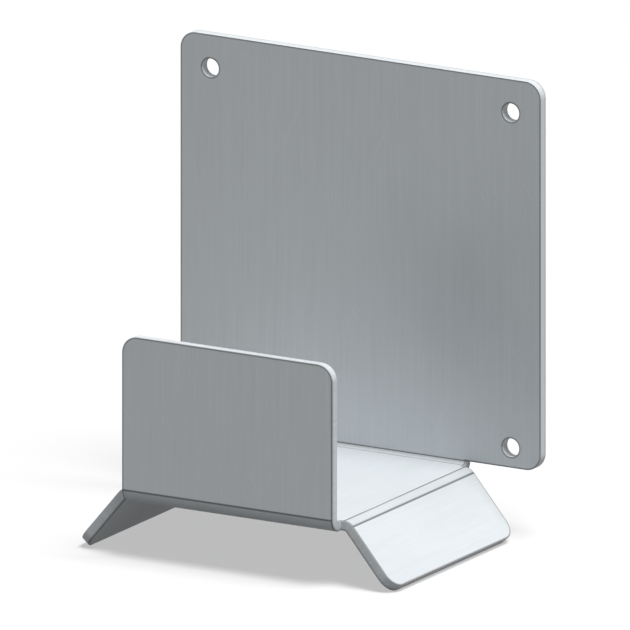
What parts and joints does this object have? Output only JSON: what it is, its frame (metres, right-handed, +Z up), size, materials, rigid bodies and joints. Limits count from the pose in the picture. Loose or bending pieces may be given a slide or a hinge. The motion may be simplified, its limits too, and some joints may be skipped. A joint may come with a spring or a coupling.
{
  "type": "charging cable holder",
  "caption": "Folded sheet-steel wall holder for a coiled charging cable: a drilled wall plate, a floor with a raised front lip, and a sloping wing on each side.",
  "frame": {"origin": "centre of the four-hole screw pattern, on the face that lies against the wall", "axes": "+Z up, +Y into the wall, so the wall is at y = 0 and the front lip faces -Y, +X to the right as seen from the front"},
  "size_m": [0.12, 0.08, 0.1369],
  "materials": {
    "sheet_steel": "satin"
  },
  "bodies": {
    "root": {"cable_holder": "sheet_steel"}
  },
  "joints": []
}
